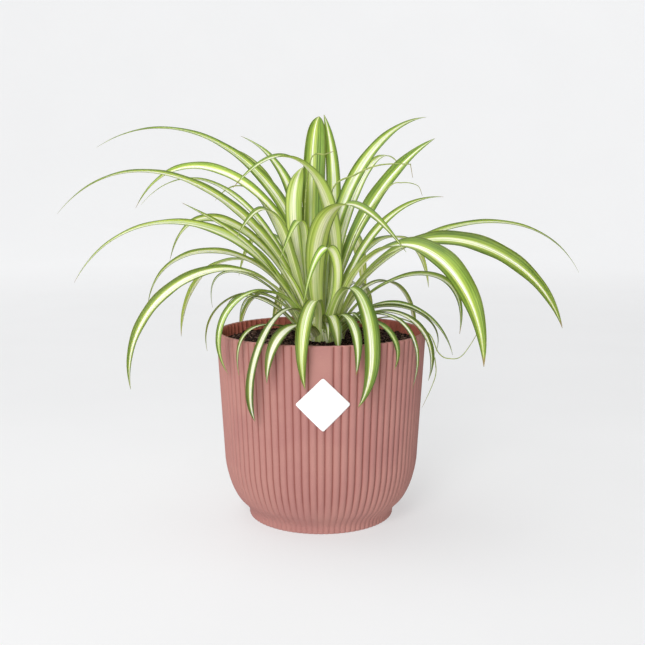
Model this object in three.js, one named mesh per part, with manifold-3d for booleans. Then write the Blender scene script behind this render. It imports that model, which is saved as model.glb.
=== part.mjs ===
// Potted spider plant: a fluted pot filled with soil, a blank label on its front,
// and a crown from which long channelled leaves arch out on every side.
// Millimetres, +Z up. The origin is the centre of the pot's foot, on the surface it stands on.
// The front faces -Y, and +X is to the right of someone who looks at the front.
import * as THREE from 'three';
import { mergeVertices } from 'three/addons/utils/BufferGeometryUtils.js';
import Module from 'manifold-3d';

const wasm = await Module();
wasm.setup();

// Pot
const POT_HEIGHT = 167;
const RIM_RADIUS = 93.2;
const WALL_FOOT_RADIUS = 87; // where the straight wall meets the round shoulder
const SHOULDER_TOP = 60;
const FOOT_HEIGHT = 10;
const FOOT_TOP_RADIUS = 65.5;
const FOOT_RADIUS = 65;
const SHOULDER_POWER = 1.75; // 2 would be an ellipse, less is a flatter shoulder
const WALL_THICKNESS = 3.4;
const FLOOR_TOP = 8;
const FLOOR_RADIUS = 61;
const BASE_RADIUS = 46; // flat middle of the underside
const GROOVE_DEPTH = 2.5; // ring groove between it and the standing ring
const GROOVE_SLOPE = 1.5;
const RING_INNER_RADIUS = 59;
const RIB_COUNT = 84;
const RIB_DEPTH = 1.1;
const RIB_CROWN = 0.3; // each side of a rib's middle, as a share of the rib pitch
const SMOOTH_RIBS = 3; // ribs across the flat panel at the front
const PANEL_BOTTOM = 130; // the panel ends behind the label
const PANEL_FADE = 22; // height over which the ribs come back below it
const WALL_LEVELS = [12, 17, 27, 41, SHOULDER_TOP, 108];
const CAVITY_LEVELS = [16, 30, SHOULDER_TOP];

// Label
const LABEL_SIDE = 32;
const LABEL_THICKNESS = 0.4;
const LABEL_CENTRE_HEIGHT = 118.6;
const LABEL_GAP = 0.35;
const LABEL_ASIDE = 1.6; // the label is stuck on a little right of the panel's middle
const LABEL_CELLS = 6;

// Soil
const SOIL_LEVEL = 157;
const SOIL_MOUND = 2.5;
const SOIL_LUMP = 1.1;
const SOIL_GAP = 0.5;
const SOIL_SIDES = 60;
const SOIL_RINGS = [0.8, 0.6, 0.42];
const HOLE_RADIUS = 21.2;
const HOLE_FLOOR = 120;

// Crown, a short stem whose head carries every leaf
const CROWN_RADIUS = 20;
const CROWN_RISE = 20;
const CROWN_POWER = 0.667; // below 1 the head is flatter on top and rounder at its edge
const CROWN_BOTTOM_RADIUS = 12;
const CROWN_SIDES = 32;
const CROWN_SEATS = [0, 12, 25, 40, 55, 70, 80]; // levels of its head, in degrees
const SEAT_GAP = 0.35;

// Leaves
const LEAF_STEPS = 10;
const LEAF_ROOT_GAP = 0.7;
const LEAF_ROOT_THICKNESS = 1.1;
const LEAF_TIP_THICKNESS = 0.7;
const LEAF_ROOT_WIDTH = 6;
const LEAF_ROOT_SHARE = 0.65; // a narrow leaf's root is this share of its width
const LEAF_TIP_WIDTH = 1.2;
const LEAF_BROADEST = 0.48; // how far along the leaf it is broadest, unless its row says
const LEAF_TAPER = 2; // how long the leaf stays broad after that
const LEAF_TWIST_START = 0.25; // a leaf with its own roll near the base has it here
const LEAF_TWIST_END = 0.7;
const LEAF_FOLD_ROOT = 0.2; // depth of the channel as a share of the width
const LEAF_FOLD_TIP = 0.12;
const KNOB_RADIUS = 3.4; // the base that the young offset's leaves share

// One row is one leaf. Angles are in degrees: "facing" is seen from above, with 0 to the right, 90 to the
// back, 180 to the left and 270 to the front; "turn" is how far the tip swings on from that; "seat" is how
// high on the crown's head the leaf is rooted, 90 being its top; "roll" turns the blade about its length.
// Each place is [distance from the pot's axis, height] a third of the way, two thirds and at the tip. A third
// number there is the direction of that place from the axis, where it doesn't follow facing and turn.
// The last value is the blade's own form, where it differs from the others: how far along it is "broadest",
// how long it stays broad ("taper"), a roll near its "base", and the "heading" of its upper side.
// name, facing, turn, seat, third, two thirds, tip, width, roll, form
const LEAVES = [
  // Left
  ['leaf_left_high', 174, -7, 76, [38, 281], [115, 340], [212, 329], 13, -14,
    { base: -50, broadest: 0.36, taper: 1.7 }],
  ['leaf_left_longest', 184, -8, 62, [67, 266], [152, 306], [237, 269], 12, -20,
    { base: -42, broadest: 0.36, taper: 1.7 }],
  ['leaf_left_long', 190, 2, 45, [76, 247], [152, 260], [212, 213], 12, -18,
    { base: -50, broadest: 0.34, taper: 1.6 }],
  ['leaf_left_droop', 205, -1, 32, [81, 223], [148, 199], [172, 127], 13, -32, { broadest: 0.6 }],
  ['leaf_left_point', 210, 1, 51, [53, 226, 210], [89, 257], [131, 280], 10, -40, { taper: 1.5 }],
  ['leaf_left_arch', 173, -3, 38, [66, 228], [127, 230], [162, 184], 10, -28, { broadest: 0.6 }],
  ['leaf_left_hook', 167, -11, 50, [56, 240], [113, 264], [158, 223], 12, -35,
    { broadest: 0.68, taper: 2.4 }],
  ['leaf_left_back_hook', 161, -3, 68, [42, 268], [117, 311], [191, 273], 13, -32,
    { broadest: 0.68, taper: 2.6 }],
  ['leaf_left_back_arch', 146, 4, 56, [58, 253], [128, 299], [205, 276], 8, -15, { taper: 1.3 }],
  ['leaf_left_loop', 190, -2, 28, [48, 207], [84, 219], [96, 188], 5, -20],
  ['leaf_left_low', 182, 0, 18, [42, 188], [66, 197], [84, 188], 7, -20, { broadest: 0.6 }],
  // Front left
  ['leaf_front_left_high', 290, 0, 80, [12, 250, 336], [27, 312, 235], [93, 292, 220], 17, -10,
    { heading: 216, base: 35, broadest: 0.55, taper: 1.8 }],
  ['leaf_front_left_arch', 229, -11, 58, [39, 233, 226], [58, 272], [88, 252], 18, -15,
    { broadest: 0.42, taper: 1.6 }],
  ['leaf_front_left_bright', 231, 0, 68, [21, 228, 230], [38, 263, 243], [66, 233, 239], 10, 0,
    { broadest: 0.56 }],
  ['leaf_front_left_short', 238, -4, 42, [34, 200], [48, 218], [60, 232], 8, -10],
  ['leaf_front_left_over_rim', 225, -5, 30, [66, 206], [105, 187], [100, 138], 10, 0, { broadest: 0.62 }],
  ['leaf_front_left_small', 212, -2, 16, [44, 190], [68, 200], [80, 178], 6, 0],
  ['leaf_front_left_long', 243, -5, 22, [66, 190], [104, 156], [101, 104], 8, 0,
    { broadest: 0.78, taper: 3 }],
  ['leaf_front_left_short_hang', 256, -10, 12, [55, 178], [95, 173], [106, 138], 12, 0, { broadest: 0.6 }],
  ['leaf_front_left_low', 230, -1, 12, [50, 175], [90, 176], [102, 140], 6, 0],
  // Front
  ['leaf_front_hang', 266, -1, 29, [58, 199, 265], [98, 181, 262], [103, 134, 263], 12, 0,
    { broadest: 0.62, taper: 2.2 }],
  ['leaf_front_curl', 288, -34, 49, [40, 224, 291], [51, 242, 273], [54, 194, 254], 9, 0],
  ['leaf_front_arch', 266, 34, 58, [28, 241, 264], [62, 278, 287], [130, 243, 300], 20, 10,
    { broadest: 0.38, taper: 1.8 }],
  ['leaf_front_right_hang', 298, -2, 38, [60, 208, 297], [98, 172, 294], [101, 118, 287], 15, 0,
    { broadest: 0.64, taper: 2.2 }],
  ['leaf_front_right_low', 306, -1, 12, [58, 183], [97, 175], [103, 146], 7, 0, { broadest: 0.6 }],
  // Right
  ['leaf_right_droop', 316, -6, 44, [75, 242], [147, 231], [188, 160], 22, 20, { broadest: 0.6 }],
  ['leaf_right_big', 342, -3, 42, [77, 243], [156, 238], [210, 179], 19, 40,
    { broadest: 0.62, taper: 1.8 }],
  ['leaf_right_long', 359, 9, 54, [78, 242], [167, 261], [240, 215], 9, 25, { taper: 1.3 }],
  ['leaf_right_hook', 341, -9, 28, [60, 210], [110, 217], [130, 172], 9, 20, { broadest: 0.62 }],
  ['leaf_right_low', 358, -8, 18, [58, 191], [95, 180], [117, 147], 7, 20],
  ['leaf_right_low_back', 16, -9, 16, [58, 186], [97, 175], [105, 143], 7, 20],
  ['leaf_right_over_rim', 341, -14, 12, [62, 186], [98, 171], [107, 132], 9, 10, { broadest: 0.66 }],
  ['leaf_right_front_rim', 324, -8, 14, [60, 186], [98, 173], [104, 128], 7, 0],
  ['leaf_right_up', 25, -7, 57, [34, 226], [69, 268], [118, 284], 10, 30, { taper: 1.5 }],
  ['leaf_right_up_broad', 36, -6, 66, [34, 243], [74, 300], [123, 338], 17, 20,
    { broadest: 0.56, taper: 2.2 }],
  ['leaf_right_back_high', 42, 4, 76, [22, 265], [72, 330], [149, 361], 14, 20, { taper: 1.7 }],
  ['leaf_right_back_arch', 67, 0, 62, [60, 262], [132, 317], [215, 318], 10, 10],
  // Back
  ['leaf_back_tall', 108, 0, 82, [19, 240, 110], [29, 312, 102], [47, 357, 92], 20, 0,
    { heading: 92, broadest: 0.5, taper: 4.4 }],
  ['leaf_back_tall_right', 72, -2, 70, [23, 230, 66], [34, 297, 70], [50, 359, 87], 14, 0,
    { heading: 76, taper: 3 }],
  ['leaf_back_upright', 202, 0, 75, [22, 236, 200], [26, 280, 199], [16, 310, 184], 16, 0,
    { heading: 250, broadest: 0.5, taper: 5 }],
  ['leaf_back_left_high', 121, 5, 72, [35, 256], [70, 310], [135, 343], 13, 0, { taper: 1.6 }],
  ['leaf_back_left_up', 133, 3, 64, [42, 254], [76, 306], [130, 332], 9, 0],
  ['leaf_back_left_thin', 132, 8, 50, [48, 238], [86, 288], [134, 280], 7, 0],
  ['leaf_back_droop', 74, 2, 46, [76, 240], [150, 232], [196, 162], 16, 0],
  ['leaf_back_long', 90, 2, 54, [66, 248], [144, 272], [215, 236], 12, 0],
  ['leaf_back_broad', 97, 8, 40, [78, 230], [144, 218], [178, 150], 17, 0],
  ['leaf_back_arch', 119, 3, 42, [62, 232], [118, 246], [160, 203], 10, 0],
  ['leaf_back_right_arch', 48, 4, 50, [68, 236], [136, 240], [182, 190], 12, 0],
  ['leaf_back_left_droop', 144, 2, 38, [78, 224], [140, 208], [168, 146], 13, 0],
  ['leaf_back_right_low', 34, 2, 26, [64, 206], [101, 188], [109, 138], 9, 0],
  ['leaf_back_low', 60, 4, 26, [58, 202], [99, 188], [108, 134], 9, 0],
  ['leaf_back_hang', 84, 4, 26, [56, 206], [98, 192], [110, 136], 10, 0],
  ['leaf_back_left_hang', 112, 4, 24, [58, 202], [98, 186], [107, 132], 8, 0],
  ['leaf_back_left_low', 132, 4, 18, [60, 194], [99, 182], [108, 138], 8, 0],
  ['leaf_left_back_low', 162, 2, 20, [58, 197], [98, 184], [110, 142], 7, 0],
];

// A young offset in front of the crown: its leaves grow together out of one knob
const OFFSET = { facing: 287, seat: 22 };
const OFFSET_LEAVES = [
  ['hanging', 287, -1, 22, [56, 187], [94, 180], [101, 144], 9, 0, { broadest: 0.66 }],
  ['short', 275, 7, 22, [40, 182], [57, 184], [69, 158], 11, 0, { broadest: 0.7, taper: 3 }],
  ['curled', 277, -2, 22, [40, 178], [56, 178], [66, 166], 7, 0],
  ['side', 299, 2, 22, [38, 181], [52, 187], [67, 179], 7, 0],
];

const smooth = (t) => t * t * (3 - 2 * t);
const clamp = (v) => Math.min(1, Math.max(0, v));
const mix = (a, b, t) => a + (b - a) * t;
const polar = (radius, angle, z) => new THREE.Vector3(radius * Math.cos(angle), radius * Math.sin(angle), z);

function meshOf(name, geometry, material) {
  const mesh = new THREE.Mesh(geometry, material);
  mesh.name = name;
  return mesh;
}

function geometryOf(points, triangles) {
  const geometry = new THREE.BufferGeometry().setFromPoints(points);
  geometry.setIndex(triangles);
  geometry.computeVertexNormals();
  return geometry;
}

// Joins a list of closed rings into one skin. Neighbouring rings may have different numbers of points,
// and a ring of a single point closes an end.
function loft(rings) {
  const points = rings.flat();
  const triangles = [];
  let start = 0;
  for (let k = 0; k + 1 < rings.length; k += 1) {
    const n = rings[k].length;
    const m = rings[k + 1].length;
    const lower = (i) => start + (i % n);
    const upper = (j) => start + n + (j % m);
    let i = 0;
    let j = 0;
    while (i < n || j < m) {
      if (j === m || (i < n && (i + 1) / n <= (j + 1) / m)) {
        if (n > 1) triangles.push(lower(i), lower(i + 1), upper(j));
        i += 1;
      } else {
        if (m > 1) triangles.push(lower(i), upper(j + 1), upper(j));
        j += 1;
      }
    }
    start += n;
  }
  return geometryOf(points, triangles);
}

function circle(radius, z, sides) {
  return Array.from({ length: sides }, (_, i) => polar(radius, (2 * Math.PI * i) / sides - Math.PI / 2, z));
}

const axisPoint = (z) => [new THREE.Vector3(0, 0, z)];

// Radius of the pot over the crowns of its ribs, without the foot
function wallRadius(z) {
  if (z >= SHOULDER_TOP) {
    return mix(WALL_FOOT_RADIUS, RIM_RADIUS, (z - SHOULDER_TOP) / (POT_HEIGHT - SHOULDER_TOP));
  }
  const drop = (SHOULDER_TOP - z) / (SHOULDER_TOP - FOOT_HEIGHT);
  const bulge = (1 - drop ** SHOULDER_POWER) ** (1 / SHOULDER_POWER);
  return FOOT_TOP_RADIUS + (WALL_FOOT_RADIUS - FOOT_TOP_RADIUS) * bulge;
}

// Three points a rib: both edges of its crown, then the groove after it. Rib 0 faces the front.
function ribbedRing(radius, z) {
  const pitch = (2 * Math.PI) / RIB_COUNT;
  const panelShare = clamp((z - PANEL_BOTTOM + PANEL_FADE) / PANEL_FADE);
  const ring = [];
  for (let rib = 0; rib < RIB_COUNT; rib += 1) {
    const middle = rib * pitch - Math.PI / 2;
    const grooveIsInPanel = rib < (SMOOTH_RIBS - 1) / 2 || rib >= RIB_COUNT - (SMOOTH_RIBS - 1) / 2;
    const depth = grooveIsInPanel ? RIB_DEPTH * (1 - panelShare) : RIB_DEPTH;
    ring.push(polar(radius, middle - RIB_CROWN * pitch, z));
    ring.push(polar(radius, middle + RIB_CROWN * pitch, z));
    ring.push(polar(radius - depth, middle + pitch / 2, z));
  }
  return ring;
}

// Radius and height of the inner wall from the floor up. It keeps its distance to the outer wall.
function cavityLevels(gap) {
  const levels = [[FLOOR_RADIUS - gap, FLOOR_TOP + gap]];
  for (const z of CAVITY_LEVELS) levels.push([wallRadius(z) - WALL_THICKNESS - gap, z]);
  return levels;
}

function potGeometry() {
  return loft([
    axisPoint(0),
    circle(BASE_RADIUS, 0, RIB_COUNT),
    circle(BASE_RADIUS + GROOVE_SLOPE, GROOVE_DEPTH, RIB_COUNT),
    circle(RING_INNER_RADIUS - GROOVE_SLOPE, GROOVE_DEPTH, RIB_COUNT),
    circle(RING_INNER_RADIUS, 0, RIB_COUNT),
    ribbedRing(FOOT_RADIUS, 0),
    ribbedRing(FOOT_TOP_RADIUS, FOOT_HEIGHT),
    ...WALL_LEVELS.map((z) => ribbedRing(wallRadius(z), z)),
    ribbedRing(wallRadius(PANEL_BOTTOM), PANEL_BOTTOM),
    ribbedRing(RIM_RADIUS, POT_HEIGHT),
    circle(RIM_RADIUS - WALL_THICKNESS, POT_HEIGHT, RIB_COUNT),
    ...cavityLevels(0).reverse().map(([radius, z]) => circle(radius, z, RIB_COUNT)),
    axisPoint(FLOOR_TOP),
  ]);
}

// A flat square turned on its corner and bent round the wall
function labelGeometry() {
  const sheet = new THREE.BoxGeometry(LABEL_SIDE, LABEL_SIDE, LABEL_THICKNESS, LABEL_CELLS, LABEL_CELLS, 1);
  sheet.rotateZ(Math.PI / 4);
  const place = sheet.attributes.position;
  for (let i = 0; i < place.count; i += 1) {
    const z = LABEL_CENTRE_HEIGHT + place.getY(i);
    const radius = wallRadius(z) + LABEL_GAP + LABEL_THICKNESS / 2 + place.getZ(i);
    const bent = polar(radius, (place.getX(i) + LABEL_ASIDE) / wallRadius(z) - Math.PI / 2, z);
    place.setXYZ(i, bent.x, bent.y, bent.z);
  }
  sheet.deleteAttribute('normal');
  sheet.deleteAttribute('uv');
  const closed = mergeVertices(sheet);
  closed.computeVertexNormals();
  return closed;
}

// Crumbly ground, as a few waves of different length over one another
function soilHeight(x, y) {
  const waves = Math.sin(x * 0.21 + 1) * Math.cos(y * 0.17) + Math.sin(x * 0.47 - y * 0.39) * 0.6;
  return SOIL_LEVEL + SOIL_MOUND * (1 - Math.hypot(x, y) / RIM_RADIUS) + SOIL_LUMP * waves;
}

function soilGeometry() {
  const topAt = (radius) => circle(radius, 0, SOIL_SIDES).map((point) => (
    point.setZ(soilHeight(point.x, point.y))));
  const edge = wallRadius(SOIL_LEVEL) - WALL_THICKNESS - SOIL_GAP;
  return loft([
    axisPoint(FLOOR_TOP + SOIL_GAP),
    ...cavityLevels(SOIL_GAP).map(([radius, z]) => circle(radius, z, SOIL_SIDES)),
    topAt(edge),
    ...SOIL_RINGS.map((share) => topAt(share * edge)),
    topAt(HOLE_RADIUS),
    circle(CROWN_BOTTOM_RADIUS + SEAT_GAP, HOLE_FLOOR, SOIL_SIDES),
    axisPoint(HOLE_FLOOR),
  ]);
}

// A place on the crown's head, and the way out of it there. The seat angle runs from 0 at the rim to 90.
function crownPoint(seat, raise = 0) {
  const across = CROWN_RADIUS * Math.cos(seat) ** CROWN_POWER;
  const up = SOIL_LEVEL + CROWN_RISE * Math.sin(seat) ** CROWN_POWER;
  return [across + raise * Math.cos(seat), up + raise * Math.sin(seat)];
}

function crownGeometry() {
  const head = CROWN_SEATS.map((degrees) => crownPoint(THREE.MathUtils.degToRad(degrees)));
  return loft([
    axisPoint(HOLE_FLOOR + SEAT_GAP),
    circle(CROWN_BOTTOM_RADIUS, HOLE_FLOOR + SEAT_GAP, CROWN_SIDES),
    ...head.map(([radius, z]) => circle(radius, z, CROWN_SIDES)),
    axisPoint(SOIL_LEVEL + CROWN_RISE),
  ]);
}

// A cubic curve through four points that lie a third of its parameter apart
function curveThrough(p, q, r, s) {
  const combine = (...terms) => {
    const sum = new THREE.Vector3();
    for (const [share, point] of terms) sum.addScaledVector(point, share / 6);
    return sum;
  };
  const leave = combine([-5, p], [18, q], [-9, r], [2, s]);
  const arrive = combine([2, p], [-9, q], [18, r], [-5, s]);
  return new THREE.CubicBezierCurve3(p, leave, arrive, s);
}

function leafWidth(width, t, { broadest = LEAF_BROADEST, taper = LEAF_TAPER }) {
  const rootWidth = Math.min(LEAF_ROOT_WIDTH, LEAF_ROOT_SHARE * width);
  const rise = mix(rootWidth, width, smooth(Math.min(t / broadest, 1)));
  const past = clamp((t - broadest) / (1 - broadest));
  return t < broadest ? rise : mix(width, LEAF_TIP_WIDTH, past ** taper);
}

// How far the blade has turned about its own length, in degrees
function leafRoll(roll, t, { base }) {
  if (base === undefined) return roll * smooth(Math.min(1, 2 * t));
  if (t < LEAF_TWIST_START) return base * smooth(t / LEAF_TWIST_START);
  return mix(base, roll, smooth(clamp((t - LEAF_TWIST_START) / (LEAF_TWIST_END - LEAF_TWIST_START))));
}

// A channelled blade along a curve. Each section has three points on the upper face and three below.
function leafGeometry([, facing, turn, seat, third, twoThirds, tip, width, roll, form = {}], root = null) {
  const rad = THREE.MathUtils.degToRad;
  const [reach, height] = crownPoint(rad(seat), LEAF_ROOT_GAP);
  const start = root ?? polar(reach, rad(facing), height);
  const [q, r, s] = [third, twoThirds, tip].map(([radius, z, azimuth], k) => (
    polar(radius, rad(azimuth ?? facing + (turn * (k + 1)) / 3), z)));
  const curve = curveThrough(start, q, r, s);
  const sections = [];
  for (let k = 0; k <= LEAF_STEPS; k += 1) {
    const t = k / LEAF_STEPS;
    const along = curve.getTangent(t);
    const across = polar(1, rad(form.heading ?? facing + turn * t) + Math.PI / 2, 0);
    across.addScaledVector(along, -across.dot(along)).normalize();
    across.applyAxisAngle(along, rad(leafRoll(roll, t, form)));
    const out = along.clone().cross(across);
    const centre = curve.getPoint(t);
    const half = leafWidth(width, t, form) / 2;
    const fold = 2 * half * mix(LEAF_FOLD_ROOT, LEAF_FOLD_TIP, t);
    const thick = mix(LEAF_ROOT_THICKNESS, LEAF_TIP_THICKNESS, t);
    const at = (side, rise) => centre.clone().addScaledVector(across, side).addScaledVector(out, rise);
    sections.push(
      at(half, fold), at(0, 0), at(-half, fold),
      at(-half, fold - thick), at(0, -thick), at(half, fold - thick),
    );
  }
  const triangles = [];
  const ringSize = 6;
  for (let k = 0; k < LEAF_STEPS; k += 1) {
    for (let i = 0; i < ringSize; i += 1) {
      const a = k * ringSize + i;
      const b = k * ringSize + ((i + 1) % ringSize);
      triangles.push(a, b, b + ringSize, a, b + ringSize, a + ringSize);
    }
  }
  const end = LEAF_STEPS * ringSize;
  const tipFace = [0, 1, 4, 0, 4, 5, 1, 2, 3, 1, 3, 4];
  const rootFace = [0, 4, 1, 0, 5, 4, 1, 3, 2, 1, 4, 3];
  triangles.push(...rootFace, ...tipFace.map((i) => end + i));
  return geometryOf(sections, triangles);
}

function solidOf(geometry) {
  const bare = geometry.clone();
  bare.deleteAttribute('normal');
  bare.deleteAttribute('uv');
  const closed = mergeVertices(bare);
  return new wasm.Manifold(new wasm.Mesh({
    numProp: 3,
    vertProperties: new Float32Array(closed.attributes.position.array),
    triVerts: new Uint32Array(closed.index.array),
  }));
}

function geometryFrom(solid) {
  const mesh = solid.getMesh();
  const geometry = new THREE.BufferGeometry();
  geometry.setAttribute('position', new THREE.BufferAttribute(mesh.vertProperties, 3));
  geometry.setIndex(new THREE.BufferAttribute(mesh.triVerts, 1));
  geometry.computeVertexNormals();
  return geometry;
}

function offsetGeometry() {
  const rad = THREE.MathUtils.degToRad;
  const [reach, height] = crownPoint(rad(OFFSET.seat), KNOB_RADIUS + LEAF_ROOT_GAP);
  const middle = polar(reach, rad(OFFSET.facing), height);
  const knob = new THREE.IcosahedronGeometry(KNOB_RADIUS, 1).translate(middle.x, middle.y, middle.z);
  const joined = OFFSET_LEAVES.reduce(
    (solid, leaf) => solid.add(solidOf(leafGeometry(leaf, middle))),
    solidOf(knob),
  );
  return geometryFrom(joined);
}

const finish = {
  pot: new THREE.MeshStandardMaterial({ color: 0xc98f86, roughness: 0.7, metalness: 0 }),
  label: new THREE.MeshStandardMaterial({ color: 0xf4f4f2, roughness: 0.5, metalness: 0 }),
  soil: new THREE.MeshStandardMaterial({ color: 0x241a17, roughness: 1, metalness: 0 }),
  crown: new THREE.MeshStandardMaterial({ color: 0xc9d69a, roughness: 0.6, metalness: 0 }),
  leaf: new THREE.MeshStandardMaterial({ color: 0x7fa544, roughness: 0.5, metalness: 0 }),
};

const plant = new THREE.Group();
plant.add(meshOf('pot', potGeometry(), finish.pot));
plant.add(meshOf('label', labelGeometry(), finish.label));
plant.add(meshOf('soil', soilGeometry(), finish.soil));
plant.add(meshOf('crown', crownGeometry(), finish.crown));
for (const leaf of LEAVES) plant.add(meshOf(leaf[0], leafGeometry(leaf), finish.leaf));
plant.add(meshOf('offset_front', offsetGeometry(), finish.leaf));

export default plant;
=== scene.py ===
import math
import random

import bpy
import numpy as np
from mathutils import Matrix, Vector, noise


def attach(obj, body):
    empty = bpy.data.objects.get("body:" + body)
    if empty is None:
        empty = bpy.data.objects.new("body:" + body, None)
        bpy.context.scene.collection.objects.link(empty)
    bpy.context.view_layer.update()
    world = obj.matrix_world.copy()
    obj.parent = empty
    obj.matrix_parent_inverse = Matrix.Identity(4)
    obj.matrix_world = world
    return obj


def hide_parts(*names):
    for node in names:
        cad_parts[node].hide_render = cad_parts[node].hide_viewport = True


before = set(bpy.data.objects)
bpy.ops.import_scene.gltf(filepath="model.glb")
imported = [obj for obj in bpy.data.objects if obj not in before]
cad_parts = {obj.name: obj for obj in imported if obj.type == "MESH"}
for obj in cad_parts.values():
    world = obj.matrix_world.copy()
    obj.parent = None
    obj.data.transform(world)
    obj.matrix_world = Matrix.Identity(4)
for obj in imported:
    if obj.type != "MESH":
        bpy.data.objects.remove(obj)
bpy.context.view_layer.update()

MM = 0.001
TURN = 2 * math.pi
SEED = 20

# Sizes that the solids have too

POT_HEIGHT = 167
RIM_RADIUS = 93.2
WALL_FOOT_RADIUS = 87  # where the straight wall meets the round shoulder
SHOULDER_TOP = 60
FOOT_HEIGHT = 10
FOOT_TOP_RADIUS = 65.5
FOOT_RADIUS = 65
SHOULDER_POWER = 1.75
WALL_THICKNESS = 3.4
FLOOR_TOP = 8
FLOOR_RADIUS = 61
BASE_RADIUS = 46
GROOVE_DEPTH = 2.5  # of the ring groove in the underside
GROOVE_SLOPE = 1.5
RING_INNER_RADIUS = 59
RIB_COUNT = 84
PANEL_BOTTOM = 130  # the smooth panel at the front runs from here to the rim
PANEL_FADE = 22

LABEL_SIDE = 32
LABEL_THICKNESS = 0.4
LABEL_CENTRE_HEIGHT = 118.6
LABEL_GAP = 0.35
LABEL_ASIDE = 1.6  # the label is stuck on a little right of the panel's middle

SOIL_LEVEL = 157
SOIL_MOUND = 2.5
SOIL_LUMP = 1.1
SOIL_GAP = 0.5

CROWN_RADIUS = 20
CROWN_RISE = 20
CROWN_POWER = 0.667
CROWN_BOTTOM_RADIUS = 12
HOLE_FLOOR = 120  # of the hole in the soil that the crown stands in

LEAF_ROOT_GAP = 0.7
LEAF_ROOT_WIDTH = 6
LEAF_ROOT_SHARE = 0.65
LEAF_TIP_WIDTH = 0.35
LEAF_BROADEST = 0.48
LEAF_TAPER = 2
LEAF_TWIST_START = 0.25
LEAF_TWIST_END = 0.7
LEAF_FOLD_ROOT = 0.2
LEAF_FOLD_TIP = 0.12
KNOB_RADIUS = 3.4  # of the base that the offset's leaves grow out of

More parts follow.
